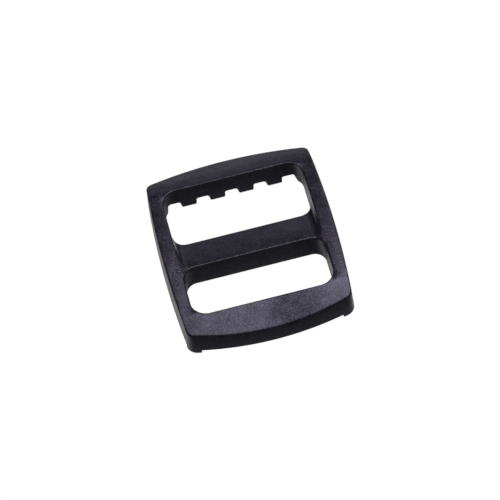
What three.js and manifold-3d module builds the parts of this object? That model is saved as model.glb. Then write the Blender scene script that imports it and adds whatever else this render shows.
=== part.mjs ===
// Toothed tri-glide strap slider: one injection-moulded plastic frame.
// Two end bars and a centre bar run between two side rails and leave two
// slots, through which a flat strap is laced. The end bars fall away outwards,
// the centre bar is a ramp with its crest on the plain side, and the +Y end
// bar carries a row of teeth along the lower edge of its slot wall.
//
// Units are millimetres. +Z is up, X runs along the slots, +Y points at the
// toothed end bar. The origin is the centre of the footprint, on the plane of
// the four corner pads that the slider rests on.

import * as THREE from "three";
import { mergeVertices } from "three/addons/utils/BufferGeometryUtils.js";
import Module from "manifold-3d";

// ---- driving dimensions -------------------------------------------------
const STRAP_WIDTH = 20.0; // flat webbing that the slots take

// outline, measured at the underside
const FRAME_WIDTH = 25.68; // across the side rails, at mid length
const FRAME_LENGTH = 30.32; // over the end bars, on the centre line
const SIDE_BOW = 0.46; // how far the sides have come in at BOW_AT_Y
const BOW_AT_Y = 11.54;
const END_BOW = 1.32; // how far the ends have come in at BOW_AT_X
const BOW_AT_X = 10.82;
const CORNER_RADIUS_BOTTOM = 1.0;
const CORNER_RADIUS_TOP = 0.7;
const WALL_DRAFT = 0.2; // inset of the outer walls at the top

// heights above the surface the pads rest on
const PAD_HEIGHT = 0.62;
const TOP_HEIGHT = PAD_HEIGHT + 4.84; // side rails at mid length
const ARCH_SLOPE = 0.06; // slope of the gentle arch at the outer ends
const END_SLOPE = 0.43; // extra slope of the end bars' tops
const FALL_START_Y = 10.08; // where the extra slope begins
const FALL_BLEND = 3.17; // length over which it comes in

// slots
const SLOT_WIDTH_TOP = STRAP_WIDTH + 2 * 0.42; // strap plus clearance each side
const SLOT_WIDTH_BOTTOM = STRAP_WIDTH + 2 * 0.3;
const SLOT_RADIUS_TOP = 2.35;
const SLOT_RADIUS_BOTTOM = 1.7;
const END_WALL_Y_TOP = 10.86; // inner wall of each end bar
const END_WALL_Y_BOTTOM = 10.78;

// centre bar
const BAR_HALF_WIDTH = 2.66;
const CREST_HEIGHT = PAD_HEIGHT + 4.41; // at the -Y edge
const RAMP_FOOT_HEIGHT = PAD_HEIGHT + 2.7; // at the +Y edge
const RAMP_OVERREACH = 0.3; // ramp cut runs this far past the slots' corner arcs
const RAMP_SIDE_GAP = 0.02; // ramp cut stops this short of the slot ends

// teeth: what is left between and beside five notches
const NOTCH_COUNT = 5;
const NOTCH_PITCH = 4.284;
const NOTCH_ROOT_WIDTH = 1.74;
const NOTCH_MOUTH_WIDTH = 2.14; // at the slot wall
const NOTCH_ROOT_Y = 11.7;
const NOTCH_ROOT_ROUNDING = 0.22;
const NOTCH_HEIGHT = 1.55; // above the pad height
const NOTCH_OVERCUT = 0.6; // how far the cutter starts inside the slot

// corner pads
const PAD_INNER_X = 10.4;
const PAD_INNER_Y = 12.2;

// cutters and blanks run past the faces they cross by this much
const MARGIN = 1;
const BLANK_TOP = TOP_HEIGHT + MARGIN;

// ---- solids and meshes --------------------------------------------------
const wasm = await Module();
wasm.setup();

function toSolid(geometry) {
  // vertices merge into a closed surface only once normals and uvs are gone
  geometry.deleteAttribute("normal");
  geometry.deleteAttribute("uv");
  const merged = mergeVertices(geometry, 1e-5);
  return new wasm.Manifold(
    new wasm.Mesh({
      numProp: 3,
      vertProperties: new Float32Array(merged.attributes.position.array),
      triVerts: new Uint32Array(merged.index.array),
    }),
  );
}

function toFlatShadedGeometry(solid) {
  const mesh = solid.getMesh();
  const indexed = new THREE.BufferGeometry();
  indexed.setAttribute("position", new THREE.BufferAttribute(mesh.vertProperties, 3));
  indexed.setIndex(new THREE.BufferAttribute(mesh.triVerts, 1));
  const flat = indexed.toNonIndexed();
  flat.computeVertexNormals();
  return flat;
}

// ---- extrusions ---------------------------------------------------------
function extrudeUp(shape, bottom, top, curveSegments) {
  const geometry = new THREE.ExtrudeGeometry(shape, {
    depth: top - bottom,
    steps: 1,
    bevelEnabled: false,
    curveSegments,
  });
  geometry.translate(0, 0, bottom);
  return geometry;
}

// Extrudes a ring of points along Z, then moves each vertex to the [x, y]
// that taper(x, y, z) gives, so that the walls lean.
function taperedSolid(ring, bottom, top, taper) {
  const geometry = extrudeUp(new THREE.Shape(ring), bottom, top);
  const { position } = geometry.attributes;
  for (let i = 0; i < position.count; i++) {
    const [x, y] = taper(position.getX(i), position.getY(i), position.getZ(i));
    position.setXY(i, x, y);
  }
  return toSolid(geometry);
}

// Moves (x, y), a point of one ring, by a share of the way to its
// counterpart in another ring. It is looked up by distance because
// ExtrudeGeometry may reorder its vertices.
function blendRings(fromRing, toRing, x, y, share) {
  const distances = fromRing.map((point) => Math.hypot(point.x - x, point.y - y));
  const target = toRing[distances.indexOf(Math.min(...distances))];
  return [x + (target.x - x) * share, y + (target.y - y) * share];
}

// Profile of [y, z] points, extruded along X over [-halfX, halfX].
function profileAlongX(points, halfX) {
  const shape = new THREE.Shape(points.map(([y, z]) => new THREE.Vector2(y, z)));
  const geometry = extrudeUp(shape, -halfX, halfX);
  // shape x, shape y, depth  ->  Y, Z, X
  geometry.applyMatrix4(
    new THREE.Matrix4().makeBasis(
      new THREE.Vector3(0, 1, 0),
      new THREE.Vector3(0, 0, 1),
      new THREE.Vector3(1, 0, 0),
    ),
  );
  return toSolid(geometry);
}

// ---- outer block --------------------------------------------------------
const sideX = (y) => FRAME_WIDTH / 2 - SIDE_BOW * (y / BOW_AT_Y) ** 2;
const endY = (x) => FRAME_LENGTH / 2 - END_BOW * (x / BOW_AT_X) ** 2;

// One quarter of the bowed outline, from the middle of the +X side to the
// middle of the +Y end, then mirrored into the other three.
function outlineRing(radius, perSide = 12, perCorner = 7) {
  // each coordinate of the corner centre depends on the other, so iterate
  let centreX = FRAME_WIDTH / 2 - radius;
  let centreY = FRAME_LENGTH / 2 - radius;
  for (let i = 0; i < 12; i++) {
    centreX = sideX(centreY) - radius;
    centreY = endY(centreX) - radius;
  }

  const quarter = [];
  for (let i = 0; i < perSide; i++) {
    const y = (centreY * i) / perSide;
    quarter.push([sideX(y), y]);
  }
  for (let i = 0; i <= perCorner; i++) {
    const angle = (Math.PI / 2) * (i / perCorner);
    quarter.push([
      centreX + radius * Math.cos(angle),
      centreY + radius * Math.sin(angle),
    ]);
  }
  for (let i = perSide - 1; i >= 0; i--) {
    const x = (centreX * i) / perSide;
    quarter.push([x, endY(x)]);
  }

  // points on the axes are shared by two quarters and kept once
  return [
    ...quarter,
    ...quarter.slice(0, -1).reverse().map(([x, y]) => [-x, y]),
    ...quarter.slice(1).map(([x, y]) => [-x, -y]),
    ...quarter.slice(1, -1).reverse().map(([x, y]) => [x, -y]),
  ].map(([x, y]) => new THREE.Vector2(x, y));
}

// Block with draft, whose corners are tighter towards the top.
function outerBlock() {
  const bottomRing = outlineRing(CORNER_RADIUS_BOTTOM);
  const topRing = outlineRing(CORNER_RADIUS_TOP);
  return taperedSolid(bottomRing, 0, BLANK_TOP, (x, y, z) => {
    const rise = z / TOP_HEIGHT;
    const inset = WALL_DRAFT * rise;
    const [blendedX, blendedY] = blendRings(bottomRing, topRing, x, y, rise);
    return [
      blendedX * (1 - inset / (FRAME_WIDTH / 2)),
      blendedY * (1 - inset / (FRAME_LENGTH / 2)),
    ];
  });
}

// ---- arched top ---------------------------------------------------------
// Height of the top surface: a parabolic arch, less a fall over the end bars
// whose slope comes in smoothly and then stays constant.
function topHeight(y) {
  const progress = Math.max(0, (Math.abs(y) - FALL_START_Y) / FALL_BLEND);
  const blend = Math.min(1, progress);
  const fall = blend ** 3 - blend ** 4 / 2 + Math.max(0, progress - 1);
  return (
    TOP_HEIGHT -
    (ARCH_SLOPE * y * y) / FRAME_LENGTH -
    END_SLOPE * FALL_BLEND * fall
  );
}

// Everything below the arched top surface.
function archEnvelope(archSteps = 6, fallSteps = 8) {
  const endStation = FRAME_LENGTH / 2 + MARGIN;
  const stations = [];
  for (let i = 0; i <= archSteps; i++) {
    stations.push((FALL_START_Y * i) / archSteps);
  }
  for (let i = 1; i <= fallSteps; i++) {
    stations.push(FALL_START_Y + (FALL_BLEND * i) / fallSteps);
  }
  stations.push(endStation);
  const profile = [
    [-endStation, -MARGIN],
    [endStation, -MARGIN],
    ...[...stations].reverse().map((y) => [y, topHeight(y)]),
    ...stations.slice(1).map((y) => [-y, topHeight(y)]),
  ];
  return profileAlongX(profile, FRAME_WIDTH);
}

// ---- slots --------------------------------------------------------------
// Rounded rectangle between the centre bar and the +Y end bar.
function slotRing(width, wallY, radius, perCorner = 8) {
  const centreX = width / 2 - radius;
  const nearY = BAR_HALF_WIDTH + radius;
  const farY = wallY - radius;
  const cornerCentres = [
    [centreX, nearY],
    [centreX, farY],
    [-centreX, farY],
    [-centreX, nearY],
  ];
  return cornerCentres.flatMap(([x, y], corner) =>
    Array.from({ length: perCorner + 1 }, (_, i) => {
      const angle = (Math.PI / 2) * (corner - 1 + i / perCorner);
      return new THREE.Vector2(
        x + radius * Math.cos(angle),
        y + radius * Math.sin(angle),
      );
    }),
  );
}

// Cutter for the +Y slot, wider and rounder at the top.
function slotCutter() {
  const topRing = slotRing(SLOT_WIDTH_TOP, END_WALL_Y_TOP, SLOT_RADIUS_TOP);
  const bottomRing = slotRing(SLOT_WIDTH_BOTTOM, END_WALL_Y_BOTTOM, SLOT_RADIUS_BOTTOM);
  return taperedSolid(topRing, -MARGIN, BLANK_TOP, (x, y, z) =>
    blendRings(topRing, bottomRing, x, y, 1 - z / TOP_HEIGHT),
  );
}

// ---- centre bar ---------------------------------------------------------
// Space above the ramp, cut between the side rails.
function rampCutter() {
  const slope = (CREST_HEIGHT - RAMP_FOOT_HEIGHT) / (2 * BAR_HALF_WIDTH);
  const reach = BAR_HALF_WIDTH + SLOT_RADIUS_TOP + RAMP_OVERREACH;
  const ceiling = BLANK_TOP + MARGIN;
  const profile = [
    [-reach, CREST_HEIGHT],
    [-BAR_HALF_WIDTH, CREST_HEIGHT],
    [reach, CREST_HEIGHT - slope * (reach + BAR_HALF_WIDTH)],
    [reach, ceiling],
    [-reach, ceiling],
  ];
  return profileAlongX(profile, SLOT_WIDTH_TOP / 2 - RAMP_SIDE_GAP);
}

// ---- teeth --------------------------------------------------------------
// One notch in the +Y end bar, centred on x and narrowing towards its root.
function notchCutter(x) {
  const startY = END_WALL_Y_BOTTOM - NOTCH_OVERCUT;
  const flare =
    (NOTCH_MOUTH_WIDTH - NOTCH_ROOT_WIDTH) / (NOTCH_ROOT_Y - END_WALL_Y_BOTTOM) / 2;
  const root = NOTCH_ROOT_WIDTH / 2;
  const start = root + flare * (NOTCH_ROOT_Y - startY);
  const rounding = NOTCH_ROOT_ROUNDING;
  const roundingY = NOTCH_ROOT_Y - rounding;

  const shape = new THREE.Shape();
  shape.moveTo(x - start, startY);
  shape.lineTo(x + start, startY);
  shape.lineTo(x + root, roundingY);
  shape.quadraticCurveTo(x + root, NOTCH_ROOT_Y, x + root - rounding, NOTCH_ROOT_Y);
  shape.lineTo(x - root + rounding, NOTCH_ROOT_Y);
  shape.quadraticCurveTo(x - root, NOTCH_ROOT_Y, x - root, roundingY);
  return toSolid(extrudeUp(shape, -MARGIN, PAD_HEIGHT + NOTCH_HEIGHT, 4));
}

// ---- underside ----------------------------------------------------------
// Box centred on the origin in plan, reaching up to the pad height.
function undersideCutter(halfX, halfY) {
  const box = new THREE.BoxGeometry(2 * halfX, 2 * halfY, PAD_HEIGHT + MARGIN);
  box.translate(0, 0, (PAD_HEIGHT - MARGIN) / 2);
  return toSolid(box);
}

// ---- assembly -----------------------------------------------------------
function buildFrame() {
  const slot = slotCutter();
  const cutters = [slot, slot.rotate([0, 0, 180]), rampCutter()];
  for (let i = 0; i < NOTCH_COUNT; i++) {
    cutters.push(notchCutter((i - (NOTCH_COUNT - 1) / 2) * NOTCH_PITCH));
  }
  // two crossing boxes leave only the corner pads standing
  cutters.push(undersideCutter(PAD_INNER_X, FRAME_LENGTH));
  cutters.push(undersideCutter(FRAME_WIDTH, PAD_INNER_Y));

  const blank = outerBlock().intersect(archEnvelope());
  return toFlatShadedGeometry(
    cutters.reduce((solid, cutter) => solid.subtract(cutter), blank),
  );
}

const blackPlastic = new THREE.MeshStandardMaterial({
  name: "black_plastic",
  color: 0x232127,
  roughness: 0.48,
  metalness: 0.0,
});

const frame = new THREE.Mesh(buildFrame(), blackPlastic);
frame.name = "slider_frame";

const slider = new THREE.Group();
slider.name = "strap_slider";
slider.add(frame);

export default slider;
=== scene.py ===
"""A moulded black strap slider: two slots either side of a ramped centre bar.

The slider is centred on the origin and rests on z = 0. Its width runs along x, its length
along y. The camera looks from the -y side, and the toothed bar is at the +y end.
Shape sizes are millimetres; MM turns them into metres.
"""

import math

import bpy
import numpy as np
from mathutils import Matrix, Vector


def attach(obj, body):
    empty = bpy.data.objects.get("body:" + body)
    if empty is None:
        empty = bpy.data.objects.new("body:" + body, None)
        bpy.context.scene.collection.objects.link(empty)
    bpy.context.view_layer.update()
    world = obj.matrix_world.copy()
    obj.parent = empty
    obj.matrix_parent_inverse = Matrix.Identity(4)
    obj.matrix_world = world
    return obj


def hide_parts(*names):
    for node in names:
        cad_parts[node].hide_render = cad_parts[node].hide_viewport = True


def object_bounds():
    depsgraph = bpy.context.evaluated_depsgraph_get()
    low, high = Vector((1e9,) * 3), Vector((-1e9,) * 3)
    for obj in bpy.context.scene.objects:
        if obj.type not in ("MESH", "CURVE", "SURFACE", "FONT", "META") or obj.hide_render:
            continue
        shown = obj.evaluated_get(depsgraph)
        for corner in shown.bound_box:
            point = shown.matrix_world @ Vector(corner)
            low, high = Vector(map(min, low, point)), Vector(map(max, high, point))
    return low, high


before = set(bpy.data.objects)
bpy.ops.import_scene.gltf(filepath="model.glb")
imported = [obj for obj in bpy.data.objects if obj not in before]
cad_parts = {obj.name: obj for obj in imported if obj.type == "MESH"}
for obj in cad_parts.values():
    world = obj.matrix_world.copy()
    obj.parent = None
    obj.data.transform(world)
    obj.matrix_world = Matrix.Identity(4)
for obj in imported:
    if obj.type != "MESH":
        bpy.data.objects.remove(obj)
cad_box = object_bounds()
scene = bpy.context.scene

MM = 1e-3

# ------------------------------------------------------------------ sizes
WIDTH, LENGTH = 25.68, 30.32
SIDE_BOW, SIDE_BOW_Y = 0.46, 11.54  # the side walls draw in this much by this y
END_BOW, END_BOW_X = 1.32, 10.82  # and the end walls by this x
CORNER_R, CORNER_R_TOP = 1.0, 0.7
DRAFT = 0.2  # inward lean of the outer walls over the full height

# Top face: a shallow arch along y that falls away towards both ends
TOP_H, ARCH = 5.46, 0.06
END_SLOPE, FALL_Y, FALL_L = 0.43, 10.08, 3.17

# Side rails: the top is crowned about the middle of each rail
RAIL_X, RAIL_HALF = 11.55, 1.1
RAIL_MIN_X = 10.0
CROWN_OUT, CROWN_IN, CROWN_TILT = 0.065, 0.05, 0.05
CROWN_FADE_Y = (9.0, 10.7)

# Slots: half width, corner radius and |y| of the outer wall, each at z = 0 and at the top
SLOT_X, SLOT_X_TOP = 10.3, 10.42
SLOT_R, SLOT_R_TOP = 1.7, 2.35
WALL_Y, WALL_Y_TOP = 10.78, 10.86

# Centre bar: its upper face is a ramp from the crest at -y down to the foot at +y
BAR_HALF = 2.66
CREST_Z, FOOT_Z = 5.03, 3.32
RAMP_SAG = 0.03  # sink of the ramp's face below a straight line
POCKET_HALF_Y, POCKET_CORNER_R, POCKET_R = 5.4, 1.1, 1.2
POCKET_RIM_R, POCKET_RIM_EXTRA, POCKET_RIM_FADE_Y = 0.1, 0.22, (3.3, 4.1)

# Notches between the teeth, cut from below into the inner wall of the +y bar
NOTCH_PITCH, NOTCH_LAST = 4.284, 2
NOTCH_ROOT, NOTCH_MOUTH = 1.74, 2.14
NOTCH_ROOT_Y, NOTCH_START_Y, NOTCH_Z = 11.7, 10.0, 2.17
NOTCH_ROOT_R, NOTCH_R = 0.24, 0.16

# Corner pads stand below the flat underside
PAD_H, PAD_X, PAD_Y = 0.62, 10.4, 12.2
PAD_CORNER_R, PAD_FILLET, PAD_BLEND_Z = 0.25, 0.08, (0.3, 0.5)

# Edge radii
EDGE_TOP, EDGE_FAR, EDGE_LOW, EDGE_UNDERSIDE = 0.32, 0.17, 0.13, 0.2
EDGE_NEAR_CUT = 0.1  # taken off EDGE_TOP on the inner side of the -y bar
END_BAR_Y, INNER_SIDE_Y = (8.5, 9.5), (12.3, 13.2)  # |y| over which these radii blend

# Sampling grid: step sizes, the distance kept fine round a feature, and the change-over
PLAN_STEPS = dict(fine=0.086, coarse=0.3, near=0.3, ramp=0.9)
RISE_STEPS = dict(fine=0.08, coarse=0.25, near=0.25, ramp=0.6)
PLAN_MARGIN, RISE_MARGIN = 0.25, 0.2
RIM = 0.1  # outer edges are sampled finely this far inside the walls and top
GRID_SLOT_X, GRID_WALL_Y, GRID_LOW_Z, GRID_FLANK = 10.4, 10.84, 0.08, 1.0
BEND_X, BEND_Y, BEND_Z = 10.9, 12.1, 2.5  # the grid is bent only outside these
BEND_LIMIT_X, BEND_LIMIT_Y = 12.0, 15.3


# ------------------------------------------------------------------ shape
# Each part is a distance field, negative inside.
def round_intersection(a, b, radius):
    """Intersection of two solids with the edge between them rounded."""
    return np.minimum(-radius, np.maximum(a, b)) + np.hypot(
        np.maximum(a + radius, 0), np.maximum(b + radius, 0)
    )


def round_union(a, b, radius):
    """Union of two solids with a fillet between them."""
    return np.maximum(radius, np.minimum(a, b)) - np.hypot(
        np.maximum(radius - a, 0), np.maximum(radius - b, 0)
    )


def rounded_rect(x, y, half_x, half_y, radius):
    over_x, over_y = np.abs(x) - half_x + radius, np.abs(y) - half_y + radius
    outside = np.hypot(np.maximum(over_x, 0), np.maximum(over_y, 0))
    return outside + np.minimum(np.maximum(over_x, over_y), 0) - radius


def smoothstep(start, end, value):
    value = np.clip((value - start) / (end - start), 0, 1)
    return value * value * (3 - 2 * value)


def lerp(start, end, share):
    return start + (end - start) * share


def side_x(y):
    return WIDTH / 2 - SIDE_BOW * (y / SIDE_BOW_Y) ** 2


def end_y(x):
    return LENGTH / 2 - END_BOW * (x / END_BOW_X) ** 2


def top_z(y):
    away = np.abs(y)
    reach = np.maximum(0, (away - FALL_Y) / FALL_L)
    bend = np.minimum(1, reach)
    fall = bend**3 - bend**4 / 2 + np.maximum(0, reach - 1)
    return TOP_H - ARCH * away * away / LENGTH - END_SLOPE * FALL_L * fall


def top_slope(y):
    away = np.abs(y)
    bend = np.clip((away - FALL_Y) / FALL_L, 0, 1)
    return 2 * ARCH * away / LENGTH + END_SLOPE * (3 * bend**2 - 2 * bend**3)


def slot_half_x(z):
    return lerp(SLOT_X, SLOT_X_TOP, z / TOP_H)


def outer_walls(x, y, z):
    away_x, away_y = np.abs(x), np.abs(y)
    lean = DRAFT * z / TOP_H
    side_slope = 2 * SIDE_BOW * away_y / SIDE_BOW_Y**2
    end_slope = 2 * END_BOW * away_x / END_BOW_X**2
    side = (away_x - side_x(y) + lean) / np.hypot(1, side_slope)
    end = (away_y - end_y(x) + lean) / np.hypot(1, end_slope)
    return round_intersection(side, end, lerp(CORNER_R, CORNER_R_TOP, np.clip(z / TOP_H, 0, 1)))


def slots(x, y, z):
    share = z / TOP_H
    wall = lerp(WALL_Y, WALL_Y_TOP, share)
    half_y, middle = (wall - BAR_HALF) / 2, (wall + BAR_HALF) / 2
    radius = lerp(SLOT_R, SLOT_R_TOP, share)
    return rounded_rect(x, np.abs(y) - middle, slot_half_x(z), half_y, radius)


def below_top(x, y, z):
    away = np.abs(x)
    on_rail = away > RAIL_MIN_X
    off = (away - RAIL_X) / RAIL_HALF
    fade = 1 - smoothstep(*CROWN_FADE_Y, np.abs(y))
    crown = np.where(off > 0, CROWN_OUT, CROWN_IN * on_rail * fade) * off**2
    crown = crown - CROWN_TILT * fade * off * on_rail
    return (z - top_z(y) + crown) / np.hypot(1, top_slope(y))


def top_edge_radius(y):
    """Tighter on the inner side of the -y bar, and on all of the +y bar."""
    near_inner = smoothstep(*END_BAR_Y, -y) * (1 - smoothstep(*INNER_SIDE_Y, -y))
    far = smoothstep(*END_BAR_Y, y)
    return EDGE_TOP - EDGE_NEAR_CUT * near_inner + (EDGE_FAR - EDGE_TOP) * far


def ramp_pocket(x, y, z):
    """The space above the centre bar's ramp, sunk between the rails."""
    slope = (CREST_Z - FOOT_Z) / (2 * BAR_HALF)
    run = np.clip((y + BAR_HALF) / (2 * BAR_HALF), 0, 1)
    drop = slope * np.maximum(0, y + BAR_HALF)
    above = CREST_Z - drop - 4 * RAMP_SAG * run * (1 - run) - z
    above = above / np.hypot(1, slope)
    plan = rounded_rect(x, y, slot_half_x(z), POCKET_HALF_Y, POCKET_CORNER_R)
    return round_intersection(plan, above, POCKET_R)


def notches(x, y, z):
    """Five notches that narrow from the mouth at the slot wall to the root."""
    i = np.clip(np.round(x / NOTCH_PITCH), -NOTCH_LAST, NOTCH_LAST)
    slope = (NOTCH_MOUTH - NOTCH_ROOT) / (NOTCH_ROOT_Y - WALL_Y) / 2
    flank = np.abs(x - i * NOTCH_PITCH) - NOTCH_ROOT / 2 - slope * (NOTCH_ROOT_Y - y)
    flank = flank / np.hypot(1, slope)
    notch = round_intersection(flank, y - NOTCH_ROOT_Y, NOTCH_ROOT_R)
    notch = round_intersection(notch, z - NOTCH_Z, NOTCH_R)
    return np.maximum(notch, NOTCH_START_Y - y)


def above_underside(x, y, z):
    pad = round_intersection(PAD_X - np.abs(x), PAD_Y - np.abs(y), PAD_CORNER_R)
    pad = round_intersection(pad, -z, EDGE_LOW)
    return round_union(PAD_H - z, pad, PAD_FILLET)


def solid(points):
    """Distance to the surface of the slider, negative inside."""
    x, y, z = points[..., 0], points[..., 1], points[..., 2]
    walls = np.maximum(outer_walls(x, y, z), -slots(x, y, z))
    body = round_intersection(walls, below_top(x, y, z), top_edge_radius(y))
    rim = POCKET_RIM_R + POCKET_RIM_EXTRA * (1 - smoothstep(*POCKET_RIM_FADE_Y, np.abs(y)))
    body = round_intersection(body, -ramp_pocket(x, y, z), rim)
    body = round_intersection(body, -notches(x, y, z), NOTCH_R)
    low_edge = lerp(EDGE_UNDERSIDE, EDGE_LOW, smoothstep(*PAD_BLEND_Z, z))
    return round_intersection(body, above_underside(x, y, z), low_edge)


def gradient(points, reach=2e-3):
    slope = np.empty_like(points)
    for axis in range(3):
        step = np.zeros(3)
        step[axis] = reach
        slope[..., axis] = (solid(points + step) - solid(points - step)) / (2 * reach)
    return slope


# ---------------------------------------------------------- sampling grid
def ticks(start, end, features, fine, coarse, near, ramp):
    """Grid lines from start to end that crowd together near the features."""
    lines, at = [start], start
    while at < end:
        gap = min(abs(at - feature) for feature in features)
        at += fine + (coarse - fine) * min(1.0, max(0.0, (gap - near) / ramp))
        lines.append(at)
    return np.array(lines)


def mirrored(half):
    """Both sides of zero, with no line on zero itself."""
    half = half - half[0] + (half[1] - half[0]) / 2
    return np.concatenate([-half[::-1], half])


def stretch(values, start, end, new_end):
    """Moves end to new_end, and leaves everything below start alone."""
    moved = start + (values - start) * (new_end - start) / (end - start)
    return np.where(values > start, moved, values)


def bent_grid():
    """Grid points whose outer planes follow the bowed walls and top."""
    half_w, half_l = WIDTH / 2, LENGTH / 2
    flanks = [i * NOTCH_PITCH + s for i in range(NOTCH_LAST + 1) for s in (-GRID_FLANK, GRID_FLANK)]
    x_features = [GRID_SLOT_X, half_w - RIM] + [at for at in flanks if at > 0]
    y_features = [BAR_HALF, GRID_WALL_Y, NOTCH_ROOT_Y, half_l - RIM]
    z_features = [GRID_LOW_Z, PAD_H, NOTCH_Z, TOP_H - RIM]
    grid_x = mirrored(ticks(0.0, half_w + PLAN_MARGIN, x_features, **PLAN_STEPS))
    grid_y = mirrored(ticks(0.0, half_l + PLAN_MARGIN, y_features, **PLAN_STEPS))
    grid_z = ticks(-RISE_MARGIN, TOP_H + RISE_MARGIN, z_features, **RISE_STEPS)
    flat_x, flat_y, flat_z = np.meshgrid(grid_x, grid_y, grid_z, indexing="ij")

    # Each wall's bow depends on the other coordinate, so the two are repeated.
    y = flat_y
    for _ in range(3):
        x = np.sign(flat_x) * stretch(np.abs(flat_x), BEND_X, half_w, side_x(y))
        end = end_y(np.minimum(np.abs(x), BEND_LIMIT_X))
        y = np.sign(flat_y) * stretch(np.abs(flat_y), BEND_Y, half_l, end)
    top = top_z(np.clip(y, -BEND_LIMIT_Y, BEND_LIMIT_Y))
    return np.stack([x, y, stretch(flat_z, BEND_Z, TOP_H, top)], -1)


# ------------------------------------------------------------------- mesh
def neighbours(grid, axis):
    """The grid without its last layer along the axis, and without its first."""
    low, high = [slice(None)] * 3, [slice(None)] * 3
    low[axis], high[axis] = slice(0, -1), slice(1, None)
    return grid[tuple(low)], grid[tuple(high)]


def cell_points(points, field):
    """One vertex per surface cell, at the mean of its edge crossings."""
    shape = field.shape
    total = np.zeros([n - 1 for n in shape] + [3])
    count = np.zeros([n - 1 for n in shape])
    for axis in range(3):
        first, second = neighbours(field, axis)
        cross = (first < 0) != (second < 0)
        share = np.where(cross, first / np.where(cross, first - second, 1), 0)[..., None]
        start, end = neighbours(points, axis)
        crossing = start * (1 - share) + end * share
        across = [a for a in range(3) if a != axis]
        for i in (0, 1):
            for j in (0, 1):
                part = [slice(None)] * 3
                for other, shift in zip(across, (i, j)):
                    part[other] = slice(shift, shape[other] - 1 + shift)
                part = tuple(part)
                total += np.where(cross[part][..., None], crossing[part], 0)
                count += cross[part]
    live = count > 0
    index = np.full(live.shape, -1, np.int64)
    index[live] = np.arange(live.sum())
    return total[live] / count[live][:, None], index


def cell_quads(inside, index):
    """One quad round every grid edge that crosses the surface, facing outward."""
    quads = []
    for axis in range(3):
        first, second = neighbours(inside, axis)
        edges = np.argwhere(first != second)
        inside_first = first[tuple(edges.T)]
        across = [a for a in range(3) if a != axis]
        limit = np.array(inside.shape)[across] - 1
        interior = ((edges[:, across] > 0) & (edges[:, across] < limit)).all(1)
        edges, inside_first = edges[interior], inside_first[interior]
        corners = []
        for shift in ((-1, -1), (0, -1), (0, 0), (-1, 0)):
            cell = edges.copy()
            cell[:, across] += shift
            corners.append(index[tuple(cell.T)])
        quad = np.stack(corners, 1)
        flip = inside_first if axis == 1 else ~inside_first
        quad[flip] = quad[flip][:, ::-1]
        quads.append(quad)
    return np.concatenate(quads)


def settle(verts, rounds):
    """Moves every point down the gradient onto the surface."""
    for _ in range(rounds):
        distance = solid(verts)
        slope = gradient(verts)
        steepness = np.maximum((slope * slope).sum(-1), 0.2)
        verts = verts - slope * (distance / steepness)[:, None]
    return verts


def build_surface():
    points = bent_grid()
    field = solid(points)
    field = np.where(np.abs(field) < 1e-9, 1e-9, field)
    verts, index = cell_points(points, field)
    quads = cell_quads(field < 0, index)
    verts = settle(verts, rounds=5)
    normals = gradient(verts)
    normals /= np.linalg.norm(normals, axis=1)[:, None]
    return verts, quads, normals


def edge_sharpness(verts, quads, normals, full_turn=4.0):
    """How sharply the surface turns outward at each vertex, from 0 to 1."""
    turn = np.zeros(len(verts))
    for a, b in ((0, 1), (1, 2), (2, 3), (3, 0)):
        i, j = quads[:, a], quads[:, b]
        gap = np.maximum(np.linalg.norm(verts[i] - verts[j], axis=1), 1e-3)
        bend = ((normals[i] - normals[j]) * (verts[i] - verts[j])).sum(1) / gap**2
        np.maximum.at(turn, i, bend)
        np.maximum.at(turn, j, bend)
    return np.clip(turn / full_turn, 0, 1)


def add_object(name, data):
    made = bpy.data.objects.new(name, data)
    scene.collection.objects.link(made)
    return made


def make_body():
    verts, quads, normals = build_surface()
    mesh = bpy.data.meshes.new("slider_body")
    mesh.from_pydata((verts * MM).tolist(), [], quads.tolist())
    mesh.update()
    mesh.shade_smooth()
    mesh.normals_split_custom_set_from_vertices(normals.tolist())
    sharpness = edge_sharpness(verts, quads, normals)
    attribute = mesh.attributes.new("edge", "FLOAT", "POINT")
    attribute.data.foreach_set("value", sharpness.astype(np.float32))
    return add_object("slider_body", mesh)


# ----------------------------------------------------------- node helpers
class Nodes:
    """The emptied node tree of a material or world, with short ways to fill it."""

    def __init__(self, owner):
        owner.use_nodes = True
        self.tree = owner.node_tree
        self.tree.nodes.clear()

    def feed(self, socket, value):
        """Links the socket to another one, or sets its value."""
        if isinstance(value, bpy.types.NodeSocket):
            self.tree.links.new(value, socket)
        else:
            socket.default_value = value

    def add(self, kind, inputs=None, **settings):
        node = self.tree.nodes.new("ShaderNode" + kind)
        for name, value in settings.items():
            setattr(node, name, value)
        for key, value in (inputs or {}).items():
            self.feed(node.inputs[key], value)
        return node

    def calc(self, operation, *values):
        return self.add("Math", dict(enumerate(values)), operation=operation).outputs[0]

    def remap(self, value, start, end, to_start=0.0, to_end=1.0, curve="SMOOTHSTEP"):
        inputs = {"From Min": start, "From Max": end, "To Min": to_start, "To Max": to_end}
        inputs["Value"] = value
        return self.add("MapRange", inputs, interpolation_type=curve).outputs["Result"]

    def mix(self, factor, a, b):
        inputs = {"Factor": factor, "A": a, "B": b}
        return self.add("Mix", inputs, data_type="RGBA").outputs["Result"]

    def layer(self, value, *changes):
        """Adds (or takes away) each mask by its amount."""
        for mask, amount in changes:
            change = self.calc("MULTIPLY", mask, abs(amount))
            value = self.calc("ADD" if amount > 0 else "SUBTRACT", value, change)
        return value

    def split_by_camera(self, output, unseen, seen):
        """Shows one shader to the camera and lights the scene with the other."""
        path = self.add("LightPath")
        inputs = {0: path.outputs["Is Camera Ray"], 1: unseen.outputs[0], 2: seen.outputs[0]}
        mix = self.add("MixShader", inputs)
        self.feed(output.inputs["Surface"], mix.outputs[0])


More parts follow.
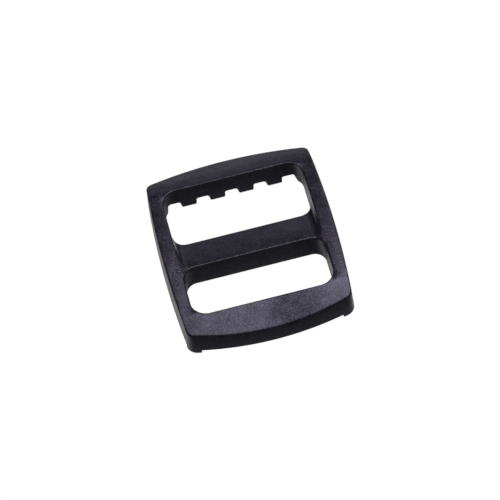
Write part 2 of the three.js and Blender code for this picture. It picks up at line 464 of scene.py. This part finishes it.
# ---------------------------------------------------------------- plastic
def moulded_black():
    material = bpy.data.materials.new("moulded_black_plastic")
    nodes = Nodes(material)
    output = nodes.add("OutputMaterial")
    plastic = nodes.add("BsdfPrincipled", {"IOR": 1.5})
    nodes.feed(output.inputs["Surface"], plastic.outputs[0])
    place = nodes.add("TexCoord").outputs["Object"]

    def noise(scale, detail, roughness):
        inputs = {"Scale": scale, "Detail": detail, "Roughness": roughness, "Vector": place}
        return nodes.add("TexNoise", inputs).outputs["Fac"]

    def spot(x, y, radius, z=TOP_H):
        """A soft round mask about a point, in millimetres."""
        inputs = {0: place, 1: (x * MM, y * MM, z * MM)}
        distance = nodes.add("VectorMath", inputs, operation="DISTANCE").outputs["Value"]
        return nodes.remap(distance, 0.35 * radius * MM, radius * MM, to_start=1.0, to_end=0.0)

    cloud = noise(scale=620.0, detail=4.0, roughness=0.6)
    speck = noise(scale=4300.0, detail=2.0, roughness=0.6)
    grain = noise(scale=3300.0, detail=3.0, roughness=0.62)
    edge = nodes.add("Attribute", attribute_name="edge").outputs["Fac"]

    # Places where the surface reflects more or less than the rest
    smudge = spot(x=3.7, y=-12.9, radius=5.2)
    # Painted highlight: extra reflection brightens the right end of the ramp.
    painted_ramp_highlight = spot(x=7.3, y=1.3, radius=3.6, z=3.9)
    # Reflects more near the right corner of the -y bar and less near the left one.
    more_reflective_right = spot(x=11.8, y=-11.4, radius=3.2)
    less_reflective_left = spot(x=-11.8, y=-11.8, radius=2.6)
    # Painted highlight: a flecked bright spot on the left rail, level with the crest.
    painted_rail_highlight_spot = spot(x=-11.4, y=-3.4, radius=1.6)
    painted_rail_highlight = nodes.calc("MULTIPLY", painted_rail_highlight_spot, nodes.remap(speck, 0.5, 0.62))

    # The ramp reflects less towards the crest, between the rails.
    axes = nodes.add("SeparateXYZ", {0: place})
    across = nodes.calc("ABSOLUTE", axes.outputs["X"], 0.0)
    along = axes.outputs["Y"]
    less_reflective_to_crest = nodes.remap(along, -3.2 * MM, 3.2 * MM, to_start=1.0, to_end=0.0)
    between_rails = nodes.remap(across, 10.2 * MM, 10.9 * MM, to_start=1.0, to_end=0.0)
    less_reflective_to_crest = nodes.calc("MULTIPLY", less_reflective_to_crest, between_rails)
    less_reflective_to_crest = nodes.calc("MULTIPLY", less_reflective_to_crest, nodes.remap(along, -2.6 * MM, -2.2 * MM))

    patch = nodes.remap(cloud, 0.36, 0.66)
    fleck = nodes.remap(speck, 0.4, 0.68)
    rub = nodes.calc("MULTIPLY", edge, nodes.remap(cloud, 0.42, 0.6, to_start=0.15))

    dark, light = (0.0063, 0.0053, 0.0094, 1), (0.0094, 0.0080, 0.0134, 1)
    fleck_colour, rub_colour = (0.016, 0.0145, 0.0215, 1), (0.028, 0.026, 0.033, 1)
    colour = nodes.mix(patch, dark, light)
    colour = nodes.mix(nodes.calc("MULTIPLY", fleck, 0.5), colour, fleck_colour)
    colour = nodes.mix(nodes.calc("MULTIPLY", rub, 0.25), colour, rub_colour)
    nodes.feed(plastic.inputs["Base Color"], colour)

    roughness = nodes.layer(0.17, (patch, 0.05), (fleck, 0.07), (edge, 0.05))
    nodes.feed(plastic.inputs["Roughness"], roughness)
    specular = nodes.layer(
        0.34,
        (fleck, 0.25),
        (patch, 0.08),
        (smudge, -0.2),
        # painted highlight on the left rail
        (painted_rail_highlight, 0.3),
        # painted highlight on the ramp's right end
        (painted_ramp_highlight, 0.14),
        (more_reflective_right, 0.12),
        (less_reflective_left, -0.12),
        (less_reflective_to_crest, -0.29),
        (edge, -0.12),
    )
    nodes.feed(plastic.inputs["Specular IOR Level"], specular)
    face_tint, edge_tint = (0.98, 0.935, 1.27, 1), (1.0, 0.98, 1.1, 1)
    nodes.feed(plastic.inputs["Specular Tint"], nodes.mix(edge, face_tint, edge_tint))

    bump = nodes.add("Bump", {"Strength": 0.34, "Distance": 0.00006, "Height": grain})
    nodes.feed(plastic.inputs["Normal"], bump.outputs["Normal"])
    return material


body = make_body()
body.data.materials.append(moulded_black())
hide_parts("slider_frame")
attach(body, "root")

# ------------------------------------------------------------------ floor
WHITE = (1, 1, 1, 1)
# The floor's colour as the slider sees it is painted light.
PAPER_DIM, PAPER_BRIGHT = 0.09, 0.64
BRIGHT_WAY = (0.35, -0.94, 0.0)  # the paper is bright when seen from this side
SPILL = 0.22  # brightness added at the foot of a wall
SPILL_REACH, SPILL_UNDER = 3.0, 1.0  # how far it runs in front of and behind the wall, mm
FLOOR_HALF, FLOOR_GAP = 3.0, 0.00002  # metres


def wall_spill(nodes, position):
    """Painted light that spills under the bars, fading out before each wall that faces -y."""
    axes = nodes.add("SeparateXYZ", {0: position})
    share = nodes.calc("MULTIPLY", axes.outputs["X"], 1 / MM / END_BOW_X)
    straight = axes.outputs["Y"]
    bow = nodes.calc("MULTIPLY", nodes.calc("MULTIPLY", share, share), END_BOW * MM)
    bowed = nodes.calc("SUBTRACT", straight, bow)
    spill = 0.0
    for y, wall in ((bowed, -LENGTH / 2), (straight, -BAR_HALF), (straight, WALL_Y)):
        ahead = nodes.remap(y, (wall - SPILL_REACH) * MM, wall * MM, curve="LINEAR")
        ahead = nodes.calc("MULTIPLY", ahead, ahead)
        in_front = nodes.calc("LESS_THAN", y, (wall + SPILL_UNDER) * MM)
        spill = nodes.calc("MAXIMUM", spill, nodes.calc("MULTIPLY", ahead, in_front))
    return spill


def white_floor():
    """Plain white to the camera; to the slider a dim sheet with painted light, bright from one side and at
    the foot of walls facing -y.
    """
    material = bpy.data.materials.new("floor_paper")
    nodes = Nodes(material)
    output = nodes.add("OutputMaterial")
    seen = nodes.add("Emission", {"Color": WHITE, "Strength": 1.0})
    paper = nodes.add("BsdfDiffuse")
    geometry = nodes.add("NewGeometry")
    inputs = {0: geometry.outputs["Incoming"], 1: BRIGHT_WAY}
    along = nodes.add("VectorMath", inputs, operation="DOT_PRODUCT").outputs["Value"]
    tone = nodes.remap(along, -0.14, 0.44, to_start=PAPER_DIM, to_end=PAPER_BRIGHT)
    spill = wall_spill(nodes, geometry.outputs["Position"])
    dim = nodes.calc("MULTIPLY_ADD", spill, SPILL, PAPER_DIM)
    nodes.feed(tone.node.inputs["To Min"], dim)
    nodes.feed(paper.inputs["Color"], tone)
    nodes.split_by_camera(output, unseen=paper, seen=seen)
    return material


floor_mesh = bpy.data.meshes.new("floor")
floor_z = Vector(cad_box[0]).z - FLOOR_GAP
floor_corners = [(x * FLOOR_HALF, y * FLOOR_HALF, floor_z) for x, y in ((-1, -1), (1, -1), (1, 1), (-1, 1))]
floor_mesh.from_pydata(floor_corners, [], [(0, 1, 2, 3)])
floor = add_object("floor", floor_mesh)
floor_mesh.materials.append(white_floor())

# ----------------------------------------------------------------- camera
# A long lens on the -y side, with a small roll. Lengths are millimetres.
VIEW_TURN, VIEW_RISE, VIEW_ROLL = (math.radians(angle) for angle in (6.461, 56.447, 8.65))
VIEW_DISTANCE = 525.89365
VIEW_WIDTH = 72.1  # width of the picture at that distance
SHIFT_RIGHT, SHIFT_UP = 0.098056, 0.594825
AIM_Z = 0.67
SENSOR = 36.0


def turned(v):
    """Turns a vector by VIEW_TURN, clockwise seen from above."""
    c, s = math.cos(VIEW_TURN), math.sin(VIEW_TURN)
    return Vector((v[0] * c + v[1] * s, -v[0] * s + v[1] * c, v[2]))


def make_camera():
    right = turned((1, 0, 0))
    up = turned((0, math.sin(VIEW_RISE), math.cos(VIEW_RISE)))
    toward = turned((0, -math.cos(VIEW_RISE), math.sin(VIEW_RISE)))
    axis_x = right * math.cos(VIEW_ROLL) - up * math.sin(VIEW_ROLL)
    axis_y = right * math.sin(VIEW_ROLL) + up * math.cos(VIEW_ROLL)
    eye = toward * VIEW_DISTANCE + right * SHIFT_RIGHT + up * SHIFT_UP + Vector((0, 0, AIM_Z))
    data = bpy.data.cameras.new("camera")
    data.sensor_width = SENSOR
    data.lens = SENSOR * VIEW_DISTANCE / VIEW_WIDTH
    data.clip_start, data.clip_end = 0.01, 20.0
    camera = add_object("camera", data)
    axes = Matrix((axis_x, axis_y, toward)).transposed().to_4x4()
    camera.matrix_world = Matrix.Translation(eye * MM) @ axes
    scene.camera = camera


make_camera()

# ----------------------------------------------------------------- lights
# One overhead panel in two halves, facing straight down. The flat tops of the rails mirror
# its far edge, so FAR sets where along the rails the bright half begins.
HEIGHT = 0.45  # metres; the panel's edges below are multiples of it
FAR, NEAR = 0.522, -1.0
LEFT, SEAM, RIGHT = -0.8, 0.1, 0.8
YAW = math.radians(15.0)


def softbox(name, left, right, radiance):
    data = bpy.data.lights.new(name, "AREA")
    data.shape = "RECTANGLE"
    size_x, size_y = HEIGHT * (right - left), HEIGHT * (FAR - NEAR)
    data.size, data.size_y = size_x, size_y
    data.energy = radiance * math.pi * size_x * size_y
    data.color = (1.0, 0.98, 1.0)
    centre = Vector((HEIGHT * (left + right) / 2, HEIGHT * (FAR + NEAR) / 2, HEIGHT))
    centre = turned(Matrix.Rotation(YAW, 3, "Z") @ centre)
    panel = add_object(name, data)
    panel.matrix_world = Matrix.Translation(centre) @ Matrix.Rotation(YAW - VIEW_TURN, 4, "Z")
    panel.visible_camera = False


softbox("softbox_left", LEFT, SEAM, radiance=2.22)
softbox("softbox_right", SEAM, RIGHT, radiance=3.3)

# ------------------------------------------------------------------ world
# Room brightness by the z of the direction: position, colour
ROOM_LOW = ((0.0, (0.46, 0.46, 0.465, 1)), (0.08, (0.38, 0.38, 0.385, 1)))
# and above that: position, grey
ROOM = (
    (0.2, 0.41), (0.26, 0.44), (0.33, 0.22), (0.41, 0.52), (0.46, 0.6),
    (0.54, 0.48), (0.66, 0.17), (0.78, 0.1), (1.0, 0.08),
)


def make_world():
    """White to the camera; to the slider a room that brightens towards +x and +y."""
    world = bpy.data.worlds.new("studio")
    nodes = Nodes(world)
    output = nodes.add("OutputWorld")
    seen = nodes.add("Background", {"Color": WHITE})
    room = nodes.add("Background")
    way = nodes.add("SeparateXYZ", {0: nodes.add("TexCoord").outputs["Generated"]})
    ramp = nodes.add("ValToRGB", {0: way.outputs["Z"]})
    stops = ramp.color_ramp.elements
    for i, (position, colour) in enumerate(ROOM_LOW):
        stops[i].position, stops[i].color = position, colour
    for position, grey in ROOM:
        stops.new(position).color = (grey, grey, grey, 1)
    by_y = nodes.remap(way.outputs["Y"], -0.5, 0.5, to_start=0.2, to_end=1.0)
    by_x = nodes.remap(way.outputs["X"], -0.6, 0.5, to_start=0.12, to_end=1.45)
    inputs = {0: ramp.outputs[0], "Scale": nodes.calc("MULTIPLY", by_y, by_x)}
    tone = nodes.add("VectorMath", inputs, operation="SCALE")
    nodes.feed(room.inputs["Color"], tone.outputs[0])
    nodes.split_by_camera(output, unseen=room, seen=seen)
    scene.world = world


make_world()
scene.view_settings.view_transform = "Standard"
scene.view_settings.look = "None"
